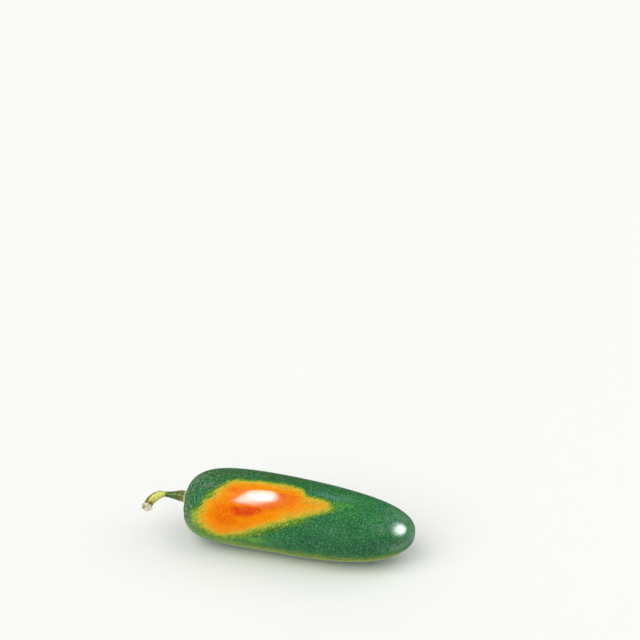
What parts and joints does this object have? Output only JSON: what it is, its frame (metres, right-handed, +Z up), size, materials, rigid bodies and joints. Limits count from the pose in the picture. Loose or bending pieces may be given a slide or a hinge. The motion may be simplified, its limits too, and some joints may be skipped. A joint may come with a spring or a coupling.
{
  "type": "chilli pepper",
  "caption": "Thick green chilli pepper with a blunt tip and an orange ripening patch, as picked, lying on its side with its calyx and a bent, cut stem.",
  "frame": {"origin": "on the surface that the pepper rests on, under the middle of the whole pepper's box", "axes": "+X along the fruit from the stem end to the tip, +Z up from the surface that it rests on"},
  "size_m": [0.107, 0.0316, 0.0302],
  "materials": {
    "fruit_skin": "smooth waxy skin, deep green, with one orange patch where it ripens",
    "calyx_tissue": "fresh green plant tissue with fine ribs, satin",
    "stem_tissue": "ridged yellow-green stem, satin, with a pale dry cut end"
  },
  "bodies": {
    "root": {"fruit": "fruit_skin", "calyx": "calyx_tissue", "stem": "stem_tissue"}
  },
  "joints": []
}
